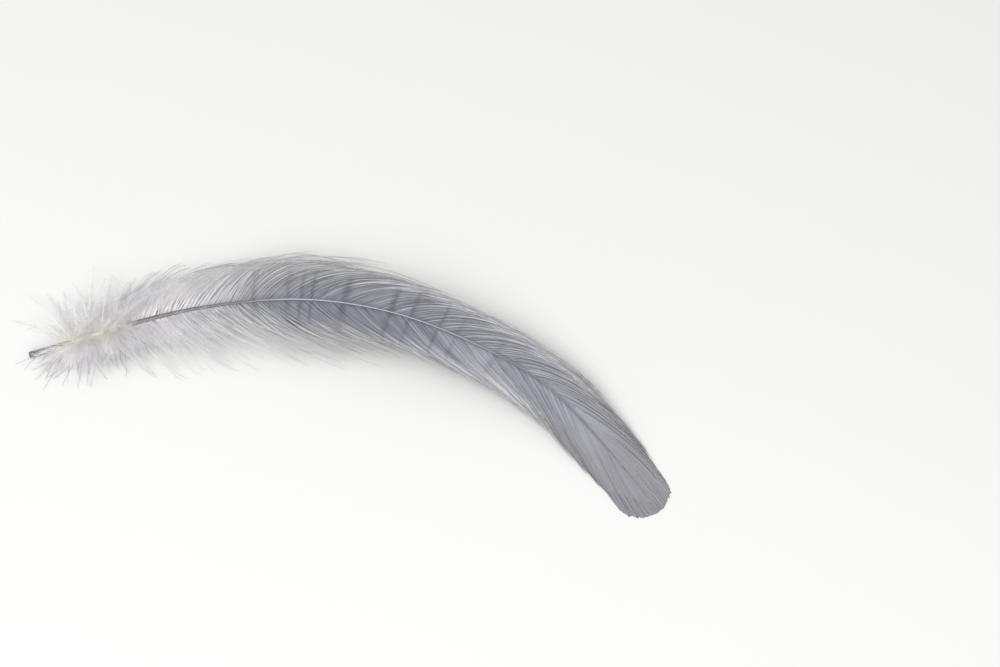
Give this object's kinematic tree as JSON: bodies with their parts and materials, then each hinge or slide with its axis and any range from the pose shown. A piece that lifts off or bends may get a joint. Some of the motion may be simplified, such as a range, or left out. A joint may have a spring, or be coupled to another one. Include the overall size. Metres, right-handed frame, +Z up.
{
  "type": "rooster hackle feather",
  "caption": "Long arched hackle feather lying on its side of down and fringe, with a cut quill, a tapering shaft, two vanes of barb locks and a blunt soft tip.",
  "frame": {"origin": "middle of the feather's box, on the surface that it lies on", "axes": "+X from the quill towards the tip, +Z up, off the surface"},
  "size_m": [0.1341, 0.0461, 0.0091],
  "materials": {
    "barb": "matt dyed grey-blue barbs, paler at their free ends",
    "shaft": "satin keratin, slate at the cut end, cream at the down and grey along the vane",
    "down": "soft matt down, cream to pale grey"
  },
  "bodies": {
    "root": {"feather": "barb"}
  },
  "joints": []
}
